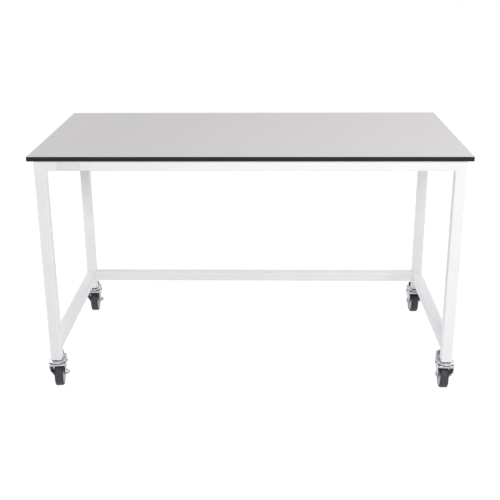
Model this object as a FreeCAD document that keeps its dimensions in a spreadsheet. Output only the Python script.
"""Mobile laboratory bench: laminate worktop, welded square-tube frame, four swivel castors.

Frame of the part: +X along the bench, +Y from its open front to its back, +Z up from the floor.
The origin is on the floor, midway along the bench and midway between the worktop's front edge
and the back of the back wheels when they trail straight behind.
"""
import FreeCAD, Part
import math
import os

import Sketcher

NODE_FOLDER = "parts"
TURN = 360

# Driving dimensions in millimetres, angles in degrees.
SIZES = {
    # worktop: one board of compact laminate
    "top_length": 1500,
    "top_depth": 750,
    "bench_height": 900,
    "top_thickness": 16,
    "top_edge_round": 1.2,
    # welded frame of square tube
    "overhang": 17.5,
    "tube": 38,
    "tube_wall": 2,
    "tube_corner": 3,
    "stretcher_top": 203,
    # worktop fixings
    "long_rail_screw_spacing": 900,
    "centre_rail_screw_spacing": 360,
    "screw_radius": 3,
    "screw_clearance": 0.3,
    "screw_head_radius": 6,
    "screw_head_height": 3.5,
    "screw_bite": 10,
    "insert_radius": 4.5,
    "insert_length": 11,
    # castor stem and the socket it screws into
    "castor_height": 128,
    "socket_height": 12,
    "stem_radius": 6,
    "stem_length": 28,
    "collar_radius": 12,
    "collar_height": 4.5,
    "king_radius": 6,
    "rivet_radius": 10,
    "rivet_height": 4,
    # swivel head
    "sheet": 2.5,
    "head_radius": 32,
    "head_lip": 4,
    "head_gap": 4,
    "head_round": 2,
    "race_rise": 1.5,
    "race_half_width": 4,
    "ball_radius": 3.5,
    "ball_ring_radius": 21.5,
    "ball_count": 14,
    # fork
    "crown_half_width": 30,
    "crown_half_length": 27,
    "crown_depth": 8,
    "crown_corner": 10,
    "crown_round": 2,
    "leg_front_drop": 24,
    "splay_start": 12,
    "splay_end": 48,
    "fork_gap": 43,
    "boss_radius": 12,
    "ear_round": 7,
    "rib_depth": 2.7,
    "rib_start": 4,
    "rib_drop": 22,
    # wheel
    "wheel_radius": 50,
    "trail": 38,
    "tread_width": 30.5,
    "tyre_thickness": 7,
    "tread_shoulder": 5.5,
    "rim_width": 28.5,
    "rim_edge": 2,
    "dome_width": 38,
    "hub_radius": 13,
    "hub_width": 41,
    "axle_radius": 4,
    "axle_head_radius": 8,
    "axle_head_height": 3.2,
    "axle_end": 2.1,
    "nut_flats": 13,
    "nut_height": 8,
    "flange_radius": 9,
    "flange_height": 1.6,
    # brake
    "pin_back": 28,
    "pin_height": 103.5,
    "pin_radius": 3,
    "pin_head_radius": 4.5,
    "pin_head_height": 3,
    "lever_side_gap": 0.7,
    "lever_rise": 4,
    "lever_plate_start": 6,
    "lever_neck_end": 20,
    "lever_neck_slope": 6,
    "lever_reach": 46,
    "pad_width": 53,
    "pad_round": 7,
    "cheek_end": 22,
    "shoe_start": 22,
    "shoe_length": 14,
    "shoe_drop": 24,
    "shoe_gap": 0.6,
    "shoe_side_gap": 2.5,
    "raised_angle": 33,
    "tip_width": 32,
    "tip_depth": 6,
    "tip_height": 15.5,
    "tip_inset": 3,
    "tip_round": 1.8,
    # fits
    "running_gap": 0.05,
    "swivel_gap": 0.3,
    "ball_clearance": 0.2,
    # how far each castor is turned from straight back, seen from above
    "turn_front_left": 8,
    "turn_front_right": -3,
    "turn_back_left": 4,
    "turn_back_right": 2,
}

# Expressions that more than one piece uses.
BOARD_UNDERSIDE = "(Sizes.bench_height - Sizes.top_thickness)"
LEG_X = "(Sizes.top_length / 2 - Sizes.overhang - Sizes.tube / 2)"
LEG_Y = "(Sizes.top_depth / 2 - Sizes.overhang - Sizes.tube / 2)"
WHEEL_END = "(Sizes.trail + Sizes.wheel_radius)"
WORKTOP_Y = f"(({LEG_Y} + {WHEEL_END} - Sizes.top_depth / 2) / -2)"
LONG_RAIL = f"(2 * {LEG_X} - Sizes.tube)"
SHORT_RAIL = f"(2 * {LEG_Y} - Sizes.tube)"
TOP_RAIL_Z = f"({BOARD_UNDERSIDE} - Sizes.tube / 2)"
STRETCHER_Z = "(Sizes.stretcher_top - Sizes.tube / 2)"

HEAD_TOP = "(Sizes.castor_height - Sizes.collar_height)"
HEAD_UNDERSIDE = f"({HEAD_TOP} - Sizes.sheet)"
LIP_BOTTOM = f"({HEAD_TOP} - Sizes.head_lip)"
CROWN_TOP = f"({LIP_BOTTOM} - Sizes.head_gap)"
CROWN_UNDERSIDE = f"({CROWN_TOP} - Sizes.sheet)"
CROWN_BOTTOM = f"({CROWN_TOP} - Sizes.crown_depth)"
CROWN_INSIDE = "(Sizes.crown_half_width - Sizes.sheet)"
BALL_Z = f"({HEAD_UNDERSIDE} + Sizes.race_rise - Sizes.ball_clearance - Sizes.ball_radius)"
FORK_INSIDE = "(Sizes.fork_gap / 2)"
FORK_OUTSIDE = "(Sizes.fork_gap / 2 + Sizes.sheet)"
RIM_RADIUS = "(Sizes.wheel_radius - Sizes.tyre_thickness)"
CHEEK_OUTSIDE = f"({CROWN_INSIDE} - Sizes.lever_side_gap)"
CHEEK_INSIDE = f"({CHEEK_OUTSIDE} - Sizes.sheet)"

doc = FreeCAD.newDocument("LaboratoryBench")
nodes = {}


def fill_sheet():
    """Writes the driving dimensions into the spreadsheet, one aliased cell each."""
    sheet = doc.addObject("Spreadsheet::Sheet", "Sizes")
    for row, (alias, value) in enumerate(SIZES.items(), start=1):
        sheet.set(f"A{row}", alias)
        sheet.set(f"B{row}", str(value))
        sheet.setAlias(f"B{row}", alias)
    doc.recompute()
    return sheet


sheet = fill_sheet()


def value_of(expression):
    """The number that an expression gives with the sheet's present values."""
    result = sheet.evalExpression(str(expression))
    return float(getattr(result, "Value", result))


def new_body(label):
    """A body that becomes the node of the same name."""
    body = doc.addObject("PartDesign::Body", label)
    body.Label = label
    nodes[label] = body
    return body


def place(item, x=0, y=0, z=0, yaw=0, pitch=0, roll=0):
    """Ties an object's place and its turns about Z, Y and X to expressions."""
    for path, expression in (
        ("Base.x", x),
        ("Base.y", y),
        ("Base.z", z),
        ("Rotation.Yaw", yaw),
        ("Rotation.Pitch", pitch),
        ("Rotation.Roll", roll),
    ):
        item.setExpression(f"Placement.{path}", str(expression))


def new_sketch(body, plane, offset=0):
    """A sketch on one of the body's own origin planes, moved along its normal by offset."""
    sketch = body.newObject("Sketcher::SketchObject", f"{body.Name}_outline")
    support = [f for f in body.Origin.OriginFeatures if f.Role == plane][0]
    sketch.AttachmentSupport = [(support, "")]
    sketch.MapMode = "FlatFace"
    sketch.setExpression("AttachmentOffset.Base.z", str(offset))
    return sketch


def tie(sketch, kind, *where_and_size):
    """Adds a dimension to a sketch and binds it to its expression, which comes last."""
    *where, expression = where_and_size
    number = sketch.addConstraint(Sketcher.Constraint(kind, *where, value_of(expression)))
    sketch.setExpression(f"Constraints[{number}]", str(expression))


def add_polygon(sketch, corners):
    """A closed outline of straight sides, each corner tied by its distances from the origin."""
    points = [FreeCAD.Vector(value_of(x), value_of(y), 0) for x, y in corners]
    first = sketch.GeometryCount
    count = len(points)
    for index, point in enumerate(points):
        sketch.addGeometry(Part.LineSegment(point, points[(index + 1) % count]))
    for index in range(count):
        following = first + (index + 1) % count
        sketch.addConstraint(Sketcher.Constraint("Coincident", first + index, 2, following, 1))
    for index, (x, y) in enumerate(corners):
        tie(sketch, "DistanceX", -1, 1, first + index, 1, x)
        tie(sketch, "DistanceY", -1, 1, first + index, 1, y)


def add_rectangle(sketch, left, right, low, high):
    """A rectangle between two pairs of distances from the origin."""
    add_polygon(sketch, [(left, low), (right, low), (right, high), (left, high)])


def add_circle(sketch, x, y, radius):
    """A circle whose centre and radius are tied to expressions."""
    centre = FreeCAD.Vector(value_of(x), value_of(y), 0)
    circle = Part.Circle(centre, FreeCAD.Vector(0, 0, 1), value_of(radius))
    number = sketch.addGeometry(circle)
    tie(sketch, "DistanceX", -1, 1, number, 3, x)
    tie(sketch, "DistanceY", -1, 1, number, 3, y)
    tie(sketch, "Radius", number, radius)


def pad(body, sketch, length, midplane=False, against_normal=False):
    """Adds material along the sketch's normal, against it, or equally to both sides of it."""
    feature = body.newObject("PartDesign::Pad", f"{body.Name}_pad")
    feature.Profile = sketch
    feature.Midplane = midplane
    feature.Reversed = against_normal
    feature.setExpression("Length", str(length))
    doc.recompute()
    return feature


def pocket(body, sketch, length=None, towards_normal=False, midplane=False):
    """Cuts a sketch out of the body: to a depth, or right through both ways when no depth is given."""
    before = body.Shape.Volume
    feature = body.newObject("PartDesign::Pocket", f"{body.Name}_pocket")
    feature.Profile = sketch
    if length is None:
        feature.Type = "ThroughAll"
        feature.Midplane = True
    else:
        feature.Reversed = towards_normal
        feature.Midplane = midplane
        feature.setExpression("Length", str(length))
    doc.recompute()
    if not feature.Shape.Volume < before:
        raise ValueError(f"{feature.Name} cuts nothing")
    return feature


def revolve(body, sketch, axis, cut=False):
    """Turns a sketch round one of its own axes, H_Axis or V_Axis, to add or to cut material."""
    kind = "PartDesign::Groove" if cut else "PartDesign::Revolution"
    feature = body.newObject(kind, f"{body.Name}_turned")
    feature.Profile = sketch
    feature.ReferenceAxis = (sketch, [axis])
    feature.Angle = TURN
    doc.recompute()
    return feature


def turned(label, axis, corners):
    """A turned piece: corners are given as (x, z) and turned about the body's own X or Z axis."""
    body = new_body(label)
    sketch = new_sketch(body, "XZ_Plane")
    add_polygon(sketch, corners)
    revolve(body, sketch, {"X": "H_Axis", "Z": "V_Axis"}[axis])
    return body


def round_edges(body, radius, wanted):
    """Rounds the edges of the body's last feature that wanted() picks."""
    base = body.Tip
    names = [
        f"Edge{number}"
        for number, edge in enumerate(base.Shape.Edges, start=1)
        if wanted(edge)
    ]
    if not names:
        raise ValueError(f"{body.Label} has no edge to round")
    feature = body.newObject("PartDesign::Fillet", f"{body.Name}_round")
    feature.Base = (base, names)
    feature.setExpression("Radius", str(radius))
    doc.recompute()
    return feature


def close_to(number, expression):
    """Whether a measured number is the one that the expression gives."""
    return abs(number - value_of(expression)) < 1e-4


def runs_along(edge, direction):
    """Whether an edge is straight and parallel to a direction."""
    if not isinstance(edge.Curve, Part.Line):
        return False
    return edge.tangentAt(edge.FirstParameter).cross(FreeCAD.Vector(*direction)).Length < 1e-6


def is_rim(edge, radius, height=None, along=None):
    """Whether an edge is a full circle of that radius, at that height or place along X."""
    if not isinstance(edge.Curve, Part.Circle) or not close_to(edge.Curve.Radius, radius):
        return False
    if height is not None and not close_to(edge.Curve.Center.z, height):
        return False
    return along is None or close_to(abs(edge.Curve.Center.x), along)


# ---------------------------------------------------------------- worktop and its fixings


def screw_places():
    """Where the worktop screws stand: (x, y) from the middle of the worktop."""
    along = "(Sizes.long_rail_screw_spacing / 2)"
    across = "(Sizes.centre_rail_screw_spacing / 2)"
    long_rails = [(f"{sx} * {along}", f"{sy} * {LEG_Y}") for sx in (-1, 1) for sy in (-1, 1)]
    short_rails = [(f"{sx} * {LEG_X}", "0") for sx in (-1, 1)]
    centre_rail = [("0", f"{sy} * {across}") for sy in (-1, 1)]
    return long_rails + short_rails + centre_rail


def make_worktop():
    """The board, with slightly rounded edges and blind holes for the threaded inserts."""
    body = new_body("worktop")
    outline = new_sketch(body, "XY_Plane")
    add_rectangle(
        outline,
        "-Sizes.top_length / 2",
        "Sizes.top_length / 2",
        "-Sizes.top_depth / 2",
        "Sizes.top_depth / 2",
    )
    pad(body, outline, "Sizes.top_thickness")
    round_edges(body, "Sizes.top_edge_round", lambda edge: True)
    holes = new_sketch(body, "XY_Plane")
    for x, y in screw_places():
        add_circle(holes, x, y, "Sizes.insert_radius")
    pocket(body, holes, "Sizes.insert_length", towards_normal=True)
    place(body, y=WORKTOP_Y, z=BOARD_UNDERSIDE)


def group(label, members):
    """Joins identical pieces, which stay separate solids, in one node."""
    compound = doc.addObject("Part::Compound", label)
    compound.Label = label
    compound.Links = members
    nodes[label] = compound


def cylinder(name, radius, height, x, y, z):
    """An upright cylinder standing on z."""
    item = doc.addObject("Part::Cylinder", name)
    item.setExpression("Radius", str(radius))
    item.setExpression("Height", str(height))
    place(item, x=x, y=f"{WORKTOP_Y} + {y}", z=z)
    return item


def combine(kind, name, base, tool):
    """A boolean of two Part objects: Part::Fuse or Part::Cut."""
    item = doc.addObject(kind, name)
    item.Base = base
    item.Tool = tool
    return item


def make_fixings():
    """Screws that come up through the rails, and the threaded inserts that take them."""
    screws = []
    inserts = []
    rail_underside = f"({BOARD_UNDERSIDE} - Sizes.tube)"
    for number, (x, y) in enumerate(screw_places(), start=1):
        head_z = f"{rail_underside} - Sizes.screw_head_height"
        head = cylinder(
            f"screw_head_{number}", "Sizes.screw_head_radius", "Sizes.screw_head_height", x, y, head_z
        )
        shank_length = "Sizes.tube + Sizes.screw_bite"
        shank = cylinder(f"screw_shank_{number}", "Sizes.screw_radius", shank_length, x, y, rail_underside)
        screws.append(combine("Part::Fuse", f"screw_{number}", head, shank))
        sleeve = cylinder(
            f"insert_sleeve_{number}", "Sizes.insert_radius", "Sizes.insert_length", x, y, BOARD_UNDERSIDE
        )
        bore = cylinder(
            f"insert_bore_{number}", "Sizes.screw_radius", "Sizes.insert_length", x, y, BOARD_UNDERSIDE
        )
        inserts.append(combine("Part::Cut", f"insert_{number}", sleeve, bore))
    group("worktop_screws", screws)
    group("worktop_inserts", inserts)


# ---------------------------------------------------------------- welded frame


def make_tube(label, length, screw_holes=()):
    """A square tube along its own Z, with screw holes drilled along its own X."""
    body = new_body(label)
    section = new_sketch(body, "XY_Plane")
    outer = "Sizes.tube / 2"
    inner = "(Sizes.tube / 2 - Sizes.tube_wall)"
    add_rectangle(section, f"-{outer}", outer, f"-{outer}", outer)
    add_rectangle(section, f"-{inner}", inner, f"-{inner}", inner)
    pad(body, section, length)
    round_edges(
        body,
        "Sizes.tube_corner",
        lambda edge: runs_along(edge, (0, 0, 1)) and close_to(abs(edge.CenterOfMass.x), outer),
    )
    if screw_holes:
        drilling = new_sketch(body, "YZ_Plane")
        for distance in screw_holes:
            add_circle(drilling, "0", distance, "Sizes.screw_radius + Sizes.screw_clearance")
        pocket(body, drilling)
    return body


def make_frame():
    """Four legs, four top rails, the centre rail and three stretchers."""
    leg_length = f"{BOARD_UNDERSIDE} - Sizes.castor_height"
    for side, sx in (("left", -1), ("right", 1)):
        for end, sy in (("front", -1), ("back", 1)):
            leg = make_tube(f"leg_{end}_{side}", leg_length)
            place(leg, x=f"{sx} * {LEG_X}", y=f"{WORKTOP_Y} + {sy} * {LEG_Y}", z="Sizes.castor_height")

    long_start = f"-{LONG_RAIL} / 2"
    long_holes = [f"{LONG_RAIL} / 2 + {sign} * Sizes.long_rail_screw_spacing / 2" for sign in (-1, 1)]
    for end, sy in (("front", -1), ("back", 1)):
        rail = make_tube(f"top_rail_{end}", LONG_RAIL, long_holes)
        place(rail, x=long_start, y=f"{WORKTOP_Y} + {sy} * {LEG_Y}", z=TOP_RAIL_Z, pitch=90)
    stretcher = make_tube("stretcher_back", LONG_RAIL)
    place(stretcher, x=long_start, y=f"{WORKTOP_Y} + {LEG_Y}", z=STRETCHER_Z, pitch=90)

    short_start = f"{WORKTOP_Y} - {SHORT_RAIL} / 2"
    for side, sx in (("left", -1), ("right", 1)):
        rail = make_tube(f"top_rail_{side}", SHORT_RAIL, [f"{SHORT_RAIL} / 2"])
        place(rail, x=f"{sx} * {LEG_X}", y=short_start, z=TOP_RAIL_Z, yaw=90, pitch=90)
        stretcher = make_tube(f"stretcher_{side}", SHORT_RAIL)
        place(stretcher, x=f"{sx} * {LEG_X}", y=short_start, z=STRETCHER_Z, yaw=90, pitch=90)
    centre_holes = [
        f"{SHORT_RAIL} / 2 + {sign} * Sizes.centre_rail_screw_spacing / 2" for sign in (-1, 1)
    ]
    rail = make_tube("top_rail_centre", SHORT_RAIL, centre_holes)
    place(rail, x=0, y=short_start, z=TOP_RAIL_Z, yaw=90, pitch=90)


def make_sockets():
    """Square threaded plugs welded flush into the lower ends of the legs."""
    sockets = []
    width = "(Sizes.tube - 2 * Sizes.tube_wall)"
    for side, sx in (("left", -1), ("right", 1)):
        for end, sy in (("front", -1), ("back", 1)):
            x = f"{sx} * {LEG_X}"
            y = f"{sy} * {LEG_Y}"
            block = doc.addObject("Part::Box", f"socket_block_{end}_{side}")
            for extent in ("Length", "Width"):
                block.setExpression(extent, width)
            block.setExpression("Height", "Sizes.socket_height")
            place(
                block,
                x=f"{x} - {width} / 2",
                y=f"{WORKTOP_Y} + {y} - {width} / 2",
                z="Sizes.castor_height",
            )
            bore = cylinder(
                f"socket_bore_{end}_{side}",
                "Sizes.stem_radius",
                "Sizes.socket_height",
                x,
                y,
                "Sizes.castor_height",
            )
            sockets.append(combine("Part::Cut", f"socket_{end}_{side}", block, bore))
    group("stem_sockets", sockets)


# ---------------------------------------------------------------- castors


def place_on_castor(body, corner, forward="0", height="0", roll="0"):
    """Puts a piece on a castor: forward is measured from the swivel axis towards the wheel."""
    side_sign = -1 if corner.endswith("left") else 1
    end_sign = -1 if corner.startswith("front") else 1
    turn = f"Sizes.turn_{corner}"
    place(
        body,
        x=f"{side_sign} * {LEG_X} - ({forward}) * sin({turn})",
        y=f"{WORKTOP_Y} + {end_sign} * {LEG_Y} + ({forward}) * cos({turn})",
        z=height,
        yaw=turn,
        roll=roll,
    )


def make_stem(corner):
    """Threaded stem, collar and kingpin in one turned piece, its lower end riveted over."""
    king_low = f"({CROWN_UNDERSIDE} - Sizes.swivel_gap)"
    rivet_low = f"({king_low} - Sizes.rivet_height)"
    stem_top = "(Sizes.castor_height + Sizes.stem_length)"
    body = turned(
        f"castor_{corner}_stem",
        "Z",
        [
            ("0", rivet_low),
            ("Sizes.rivet_radius - 1.5", rivet_low),
            ("Sizes.rivet_radius", f"{rivet_low} + 1.5"),
            ("Sizes.rivet_radius", king_low),
            ("Sizes.king_radius", king_low),
            ("Sizes.king_radius", HEAD_TOP),
            ("Sizes.collar_radius", HEAD_TOP),
            ("Sizes.collar_radius", "Sizes.castor_height"),
            ("Sizes.stem_radius", "Sizes.castor_height"),
            ("Sizes.stem_radius", f"{stem_top} - 1"),
            ("Sizes.stem_radius - 1", stem_top),
            ("0", stem_top),
        ],
    )
    place_on_castor(body, corner)


def make_head(corner):
    """Pressed upper race: a disc with a raised ring over the balls and a turned-down lip."""
    ring_inner = "(Sizes.ball_ring_radius - Sizes.race_half_width)"
    ring_outer = "(Sizes.ball_ring_radius + Sizes.race_half_width)"
    slope = "Sizes.race_rise"
    body = turned(
        f"castor_{corner}_head",
        "Z",
        [
            ("Sizes.king_radius", HEAD_UNDERSIDE),
            ("Sizes.king_radius", HEAD_TOP),
            (f"{ring_inner} - {slope}", HEAD_TOP),
            (ring_inner, f"{HEAD_TOP} + Sizes.race_rise"),
            (ring_outer, f"{HEAD_TOP} + Sizes.race_rise"),
            (f"{ring_outer} + {slope}", HEAD_TOP),
            ("Sizes.head_radius", HEAD_TOP),
            ("Sizes.head_radius", LIP_BOTTOM),
            ("Sizes.head_radius - Sizes.sheet", LIP_BOTTOM),
            ("Sizes.head_radius - Sizes.sheet", HEAD_UNDERSIDE),
            (f"{ring_outer} + {slope}", HEAD_UNDERSIDE),
            (ring_outer, f"{HEAD_UNDERSIDE} + Sizes.race_rise"),
            (ring_inner, f"{HEAD_UNDERSIDE} + Sizes.race_rise"),
            (f"{ring_inner} - {slope}", HEAD_UNDERSIDE),
        ],
    )
    round_edges(body, "Sizes.head_round", lambda edge: is_rim(edge, "Sizes.head_radius", HEAD_TOP))
    place_on_castor(body, corner)


def make_balls(corner):
    """The ring of swivel balls that runs between the head and the fork's crown."""
    body = new_body(f"castor_{corner}_swivel_balls")
    sketch = new_sketch(body, "XZ_Plane")
    centre = FreeCAD.Vector(value_of("Sizes.ball_ring_radius"), value_of(BALL_Z), 0)
    radius = value_of("Sizes.ball_radius")
    circle = Part.Circle(centre, FreeCAD.Vector(0, 0, 1), radius)
    sketch.addGeometry(Part.ArcOfCircle(circle, -math.pi / 2, math.pi / 2))
    top = centre + FreeCAD.Vector(0, radius, 0)
    bottom = centre - FreeCAD.Vector(0, radius, 0)
    sketch.addGeometry(Part.LineSegment(top, bottom))
    sketch.addConstraint(Sketcher.Constraint("Coincident", 0, 2, 1, 1))
    sketch.addConstraint(Sketcher.Constraint("Coincident", 1, 2, 0, 1))
    sketch.addConstraint(Sketcher.Constraint("PointOnObject", 0, 3, 1))
    sketch.addConstraint(Sketcher.Constraint("Vertical", 1))
    tie(sketch, "DistanceX", -1, 1, 0, 3, "Sizes.ball_ring_radius")
    tie(sketch, "DistanceY", -1, 1, 0, 3, BALL_Z)
    tie(sketch, "Radius", 0, "Sizes.ball_radius")
    ball = revolve(body, sketch, "Edge2")
    ring = body.newObject("PartDesign::PolarPattern", f"{body.Name}_ring")
    ring.Originals = [ball]
    ring.Axis = ([f for f in body.Origin.OriginFeatures if f.Role == "Z_Axis"][0], [""])
    ring.Angle = TURN
    ring.setExpression("Occurrences", "Sizes.ball_count")
    body.Tip = ring
    place_on_castor(body, corner)


def make_crown(body):
    """The fork's top: a flat plate with a front lip and rounded front corners, open at the back."""
    front = "-Sizes.crown_half_length"
    outline = new_sketch(body, "XY_Plane", CROWN_BOTTOM)
    half_width = "Sizes.crown_half_width"
    add_rectangle(outline, f"-{half_width}", half_width, front, "Sizes.crown_half_length")
    pad(body, outline, "Sizes.crown_depth")
    round_edges(
        body,
        "Sizes.crown_corner",
        lambda edge: runs_along(edge, (0, 0, 1)) and close_to(edge.CenterOfMass.y, front),
    )
    round_edges(body, "Sizes.crown_round", lambda edge: close_to(edge.BoundBox.ZMin, CROWN_TOP))
    hollow = new_sketch(body, "XY_Plane", CROWN_BOTTOM)
    inner_corner = "(Sizes.crown_corner - Sizes.sheet)"
    corner_x = "(Sizes.crown_half_width - Sizes.crown_corner)"
    corner_y = "(Sizes.crown_corner - Sizes.crown_half_length)"
    half = [(CROWN_INSIDE, "2 * Sizes.crown_half_length")]
    for angle in (0, 22.5, 45, 67.5, 90):
        half.append(
            (
                f"({corner_x} + {inner_corner} * cos({angle}))",
                f"({corner_y} - {inner_corner} * sin({angle}))",
            )
        )
    add_polygon(hollow, half + [(f"-({x})", y) for x, y in reversed(half)])
    pocket(body, hollow, "Sizes.crown_depth - Sizes.sheet", towards_normal=True)


def make_back_ribs(body, top, bottom):
    """Adds the rib that stiffens each fork leg: its back edge, turned in towards the wheel.

    The edge is a straight line between two places, given as how far back and how high they are.
    """
    slope = f"(({bottom[0]} - {top[0]}) / ({top[1]} - {bottom[1]}))"
    rib_end = "(Sizes.rib_start + Sizes.rib_drop)"
    high = (f"({top[0]} + {slope} * Sizes.rib_start)", f"({top[1]} - Sizes.rib_start)")
    low = (f"({top[0]} + {slope} * {rib_end})", f"({top[1]} - {rib_end})")
    inner = f"({FORK_INSIDE} - Sizes.rib_depth)"
    outline = new_sketch(body, "YZ_Plane", inner)
    inside = [(f"{y} - Sizes.sheet", z) for y, z in (low, high)]
    add_polygon(outline, [high, low] + inside)
    rib = pad(body, outline, f"{CROWN_INSIDE} + Sizes.sheet / 2 - {inner}")
    mirror = body.newObject("PartDesign::Mirrored", f"{body.Name}_rib_mirror")
    mirror.Originals = [rib]
    mirror.MirrorPlane = ([f for f in body.Origin.OriginFeatures if f.Role == "YZ_Plane"][0], [""])
    body.Tip = mirror
    doc.recompute()

    beside = new_sketch(body, "XZ_Plane")
    splay_top = f"({CROWN_BOTTOM} - Sizes.splay_start)"
    splay_bottom = f"({CROWN_BOTTOM} - Sizes.splay_end)"
    away = "(2 * Sizes.crown_half_width)"
    half = [
        ("Sizes.crown_half_width", splay_top),
        (FORK_OUTSIDE, splay_bottom),
        (away, splay_bottom),
        (away, splay_top),
    ]
    add_polygon(beside, half)
    add_polygon(beside, [(f"-({x})", z) for x, z in half])
    pocket(body, beside)


def make_fork(corner):
    """Pressed fork: the crown, two ribbed legs that draw in to the axle, and the axle bosses."""
    body = new_body(f"castor_{corner}_fork")
    make_crown(body)

    leg_top = f"({CROWN_BOTTOM} + Sizes.sheet)"
    front_corner = f"({CROWN_BOTTOM} - Sizes.leg_front_drop)"
    splay_top = f"({CROWN_BOTTOM} - Sizes.splay_start)"
    splay_bottom = f"({CROWN_BOTTOM} - Sizes.splay_end)"
    leg_bottom = "(Sizes.wheel_radius - Sizes.boss_radius)"
    front_edge = "(Sizes.crown_corner - Sizes.crown_half_length)"
    section = new_sketch(body, "XZ_Plane", f"-{front_edge}")
    half = [
        ("Sizes.crown_half_width", leg_top),
        ("Sizes.crown_half_width", splay_top),
        (FORK_OUTSIDE, splay_bottom),
        (FORK_OUTSIDE, leg_bottom),
        (FORK_INSIDE, leg_bottom),
        (FORK_INSIDE, splay_bottom),
        (CROWN_INSIDE, splay_top),
        (CROWN_INSIDE, leg_top),
    ]
    add_polygon(section, half)
    add_polygon(section, [(f"-({x})", z) for x, z in half])
    reach = "(Sizes.trail + Sizes.boss_radius)"
    pad(body, section, f"{reach} - {front_edge}", against_normal=True)

    back_edge = "(Sizes.pin_back + Sizes.ear_round)"
    beyond = f"(2 * {reach})"
    in_front = new_sketch(body, "YZ_Plane")
    front_tangent = "(Sizes.trail - Sizes.boss_radius * cos(50))"
    low_tangent = "(Sizes.wheel_radius - Sizes.boss_radius * sin(50))"
    add_polygon(
        in_front,
        [
            (front_edge, CROWN_BOTTOM),
            (front_edge, front_corner),
            (front_tangent, low_tangent),
            ("Sizes.trail", low_tangent),
            ("Sizes.trail", "0"),
            (f"-{beyond}", "0"),
            (f"-{beyond}", CROWN_BOTTOM),
        ],
    )
    pocket(body, in_front)
    behind = new_sketch(body, "YZ_Plane")
    back_tangent = "(Sizes.trail + Sizes.boss_radius * cos(15))"
    high_tangent = "(Sizes.wheel_radius + Sizes.boss_radius * sin(15))"
    ear_low = "(Sizes.pin_height - Sizes.ear_round)"
    add_polygon(
        behind,
        [
            (back_edge, f"{CROWN_TOP} + 1"),
            (back_edge, ear_low),
            (back_tangent, high_tangent),
            ("Sizes.trail", high_tangent),
            ("Sizes.trail", "0"),
            (beyond, "0"),
            (beyond, f"{CROWN_TOP} + 1"),
        ],
    )
    pocket(body, behind)
    make_back_ribs(body, (back_edge, ear_low), (back_tangent, high_tangent))
    boss_outline = new_sketch(body, "YZ_Plane", FORK_INSIDE)
    add_circle(boss_outline, "Sizes.trail", "Sizes.wheel_radius", "Sizes.boss_radius")
    boss = pad(body, boss_outline, "Sizes.sheet")
    mirror = body.newObject("PartDesign::Mirrored", f"{body.Name}_mirror")
    mirror.Originals = [boss]
    mirror.MirrorPlane = ([f for f in body.Origin.OriginFeatures if f.Role == "YZ_Plane"][0], [""])
    body.Tip = mirror
    doc.recompute()

    race = new_sketch(body, "XZ_Plane")
    add_circle(race, "Sizes.ball_ring_radius", BALL_Z, "Sizes.ball_radius + Sizes.running_gap")
    revolve(body, race, "V_Axis", cut=True)
    king_hole = new_sketch(body, "XY_Plane")
    add_circle(king_hole, "0", "0", "Sizes.king_radius + Sizes.running_gap")
    pocket(body, king_hole)
    holes = new_sketch(body, "YZ_Plane")
    add_circle(holes, "Sizes.trail", "Sizes.wheel_radius", "Sizes.axle_radius")
    add_circle(holes, "Sizes.pin_back", "Sizes.pin_height", "Sizes.pin_radius")
    pocket(body, holes)
    place_on_castor(body, corner)


def make_axle(corner):
    """The axle bolt with its low head, and the flanged nut that clamps the fork legs."""
    head_start = f"-({FORK_OUTSIDE} + Sizes.axle_head_height)"
    nut_start = FORK_OUTSIDE
    end = f"({nut_start} + Sizes.flange_height + Sizes.nut_height + Sizes.axle_end)"
    bolt = turned(
        f"castor_{corner}_axle_bolt",
        "X",
        [
            (head_start, "0"),
            (head_start, "Sizes.axle_head_radius - 2"),
            (f"{head_start} + 2", "Sizes.axle_head_radius"),
            (f"-{FORK_OUTSIDE}", "Sizes.axle_head_radius"),
            (f"-{FORK_OUTSIDE}", "Sizes.axle_radius"),
            (f"{end} - 1", "Sizes.axle_radius"),
            (end, "Sizes.axle_radius - 1"),
            (end, "0"),
        ],
    )
    place_on_castor(bolt, corner, "Sizes.trail", "Sizes.wheel_radius")

    nut = new_body(f"castor_{corner}_axle_nut")
    flange = new_sketch(nut, "YZ_Plane", nut_start)
    add_circle(flange, "0", "0", "Sizes.flange_radius")
    add_circle(flange, "0", "0", "Sizes.axle_radius")
    pad(nut, flange, "Sizes.flange_height")
    hexagon = new_sketch(nut, "YZ_Plane", f"{nut_start} + Sizes.flange_height")
    half_flats = "Sizes.nut_flats / 2"
    add_polygon(
        hexagon,
        [
            (f"{half_flats} / cos(30) * cos({angle})", f"{half_flats} / cos(30) * sin({angle})")
            for angle in range(0, TURN, 60)
        ],
    )
    add_circle(hexagon, "0", "0", "Sizes.axle_radius")
    pad(nut, hexagon, "Sizes.nut_height")
    place_on_castor(nut, corner, "Sizes.trail", "Sizes.wheel_radius")


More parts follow.
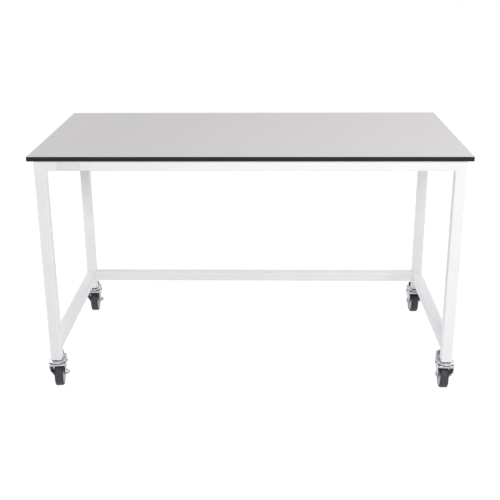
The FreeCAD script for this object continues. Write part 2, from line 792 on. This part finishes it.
def make_wheel(corner):
    """The moulded wheel core, domed from rim to hub on both sides, and the tyre bonded round it."""
    bore = "(Sizes.axle_radius + Sizes.running_gap)"
    profile = []
    for sign in (1, -1):
        half = [
            (f"{sign} * Sizes.hub_width / 2", bore),
            (f"{sign} * Sizes.hub_width / 2", "Sizes.hub_radius"),
            (f"{sign} * Sizes.dome_width / 2", "Sizes.hub_radius + 1"),
            (f"{sign} * Sizes.rim_width / 2", f"{RIM_RADIUS} - Sizes.rim_edge"),
            (f"{sign} * Sizes.rim_width / 2", RIM_RADIUS),
        ]
        profile += half if sign == 1 else half[::-1]
    core = turned(f"castor_{corner}_wheel_core", "X", profile)
    place_on_castor(core, corner, "Sizes.trail", "Sizes.wheel_radius")

    half_tread = "Sizes.tread_width / 2"
    tyre = turned(
        f"castor_{corner}_tyre",
        "X",
        [
            (f"-{half_tread}", RIM_RADIUS),
            (half_tread, RIM_RADIUS),
            (half_tread, "Sizes.wheel_radius"),
            (f"-{half_tread}", "Sizes.wheel_radius"),
        ],
    )
    round_edges(
        tyre,
        "Sizes.tread_shoulder",
        lambda edge: is_rim(edge, "Sizes.wheel_radius", along=half_tread),
    )
    place_on_castor(tyre, corner, "Sizes.trail", "Sizes.wheel_radius")


def make_brake(corner):
    """The cross pin in the fork, the pressed lever that tips on it, and the lever's rubber tip."""
    pin_end = "Sizes.crown_half_width"
    head_end = f"({pin_end} + Sizes.pin_head_height)"
    pin = turned(
        f"castor_{corner}_brake_pin",
        "X",
        [
            (f"-{head_end}", "0"),
            (f"-{head_end}", "Sizes.pin_head_radius"),
            (f"-{pin_end}", "Sizes.pin_head_radius"),
            (f"-{pin_end}", "Sizes.pin_radius"),
            (pin_end, "Sizes.pin_radius"),
            (pin_end, "Sizes.pin_head_radius"),
            (head_end, "Sizes.pin_head_radius"),
            (head_end, "0"),
        ],
    )
    place_on_castor(pin, corner, "Sizes.pin_back", "Sizes.pin_height")

    angle = "Sizes.raised_angle" if corner == "front_right" else "0"
    lever = make_lever(f"castor_{corner}_brake_lever")
    place_on_castor(lever, corner, "Sizes.pin_back", "Sizes.pin_height", roll=angle)

    tip = new_body(f"castor_{corner}_brake_tip")
    foot = new_sketch(tip, "XY_Plane", "Sizes.lever_rise + Sizes.sheet")
    back = "(Sizes.lever_reach - Sizes.tip_inset)"
    add_rectangle(foot, "-Sizes.tip_width / 2", "Sizes.tip_width / 2", f"{back} - Sizes.tip_depth", back)
    pad(tip, foot, "Sizes.tip_height")
    foot_z = "(Sizes.lever_rise + Sizes.sheet)"
    round_edges(tip, "Sizes.tip_round", lambda edge: not close_to(edge.BoundBox.ZMax, foot_z))
    place_on_castor(tip, corner, "Sizes.pin_back", "Sizes.pin_height", roll=angle)


def make_lever(label):
    """A channel-shaped lever about its pin: two cheeks, a plate with a wide pad, and a shoe.

    The shoe stands over the tread and reaches down a little on both sides of the tyre.
    """
    body = new_body(label)
    plate_top = "(Sizes.lever_rise + Sizes.sheet)"
    width = f"2 * {CHEEK_OUTSIDE}"

    cheek = new_sketch(body, "YZ_Plane")
    add_polygon(
        cheek,
        [
            ("0", "-Sizes.ear_round * 0.93"),
            ("Sizes.cheek_end", "Sizes.lever_rise - 1"),
            ("Sizes.cheek_end", plate_top),
            ("Sizes.lever_plate_start", plate_top),
            ("0", "Sizes.ear_round * 0.93"),
        ],
    )
    pad(body, cheek, width, midplane=True)
    ear = new_sketch(body, "YZ_Plane")
    add_circle(ear, "0", "0", "Sizes.ear_round")
    pad(body, ear, width, midplane=True)
    inside = new_sketch(body, "XY_Plane")
    reach = "2 * Sizes.lever_reach"
    add_rectangle(inside, f"-{CHEEK_INSIDE}", CHEEK_INSIDE, f"-{reach}", reach)
    pocket(body, inside)

    plate = new_sketch(body, "XY_Plane", "Sizes.lever_rise")
    pad_start = "Sizes.lever_neck_end"
    half_pad = "Sizes.pad_width / 2"
    half = [
        (CHEEK_OUTSIDE, "Sizes.lever_plate_start"),
        (CHEEK_OUTSIDE, f"{pad_start} - Sizes.lever_neck_slope"),
        (half_pad, pad_start),
        (half_pad, "Sizes.lever_reach"),
    ]
    add_polygon(plate, half + [(f"-({x})", y) for x, y in reversed(half)])
    pad(body, plate, "Sizes.sheet")
    round_edges(
        body,
        "Sizes.pad_round",
        lambda edge: runs_along(edge, (0, 0, 1)) and close_to(edge.CenterOfMass.y, "Sizes.lever_reach"),
    )

    shoe = new_sketch(body, "YZ_Plane")
    shoe_end = "(Sizes.shoe_start + Sizes.shoe_length)"
    wheel_y = "(Sizes.trail - Sizes.pin_back)"
    wheel_z = "(Sizes.wheel_radius - Sizes.pin_height)"
    add_rectangle(shoe, "Sizes.shoe_start", shoe_end, "-Sizes.shoe_drop", plate_top)
    pad(body, shoe, width, midplane=True)
    tread = new_sketch(body, "YZ_Plane")
    add_circle(tread, wheel_y, wheel_z, "Sizes.wheel_radius + Sizes.shoe_gap")
    pocket(body, tread, "Sizes.tread_width + 2 * Sizes.shoe_side_gap", midplane=True)

    pivot = new_sketch(body, "YZ_Plane")
    add_circle(pivot, "0", "0", "Sizes.pin_radius + Sizes.running_gap")
    pocket(body, pivot)
    return body


def make_castor(corner):
    """Everything that comes with one castor, from its stem to its brake."""
    make_stem(corner)
    make_head(corner)
    make_balls(corner)
    make_fork(corner)
    make_axle(corner)
    make_wheel(corner)
    make_brake(corner)


# ---------------------------------------------------------------- check and export


def check_and_export():
    """Writes each node's STEP file once every object of the document is sound."""
    doc.recompute()
    for item in doc.Objects:
        if "Invalid" in item.State or "Error" in item.State:
            raise ValueError(f"{item.Label} did not recompute: {item.State}")
    for label, item in nodes.items():
        if item.Shape.isNull() or not item.Shape.isValid():
            raise ValueError(f"{label} has no valid shape")
    os.makedirs(NODE_FOLDER, exist_ok=True)
    for label, item in sorted(nodes.items()):
        item.Shape.exportStep(os.path.join(NODE_FOLDER, f"{label}.step"))
        print(f"{label}: {len(item.Shape.Solids)} solid(s), {item.Shape.Volume / 1000:.2f} cm3")
    print(f"{len(nodes)} nodes")


make_worktop()
make_frame()
make_fixings()
make_sockets()
for castor_corner in ("front_left", "front_right", "back_left", "back_right"):
    make_castor(castor_corner)
check_and_export()
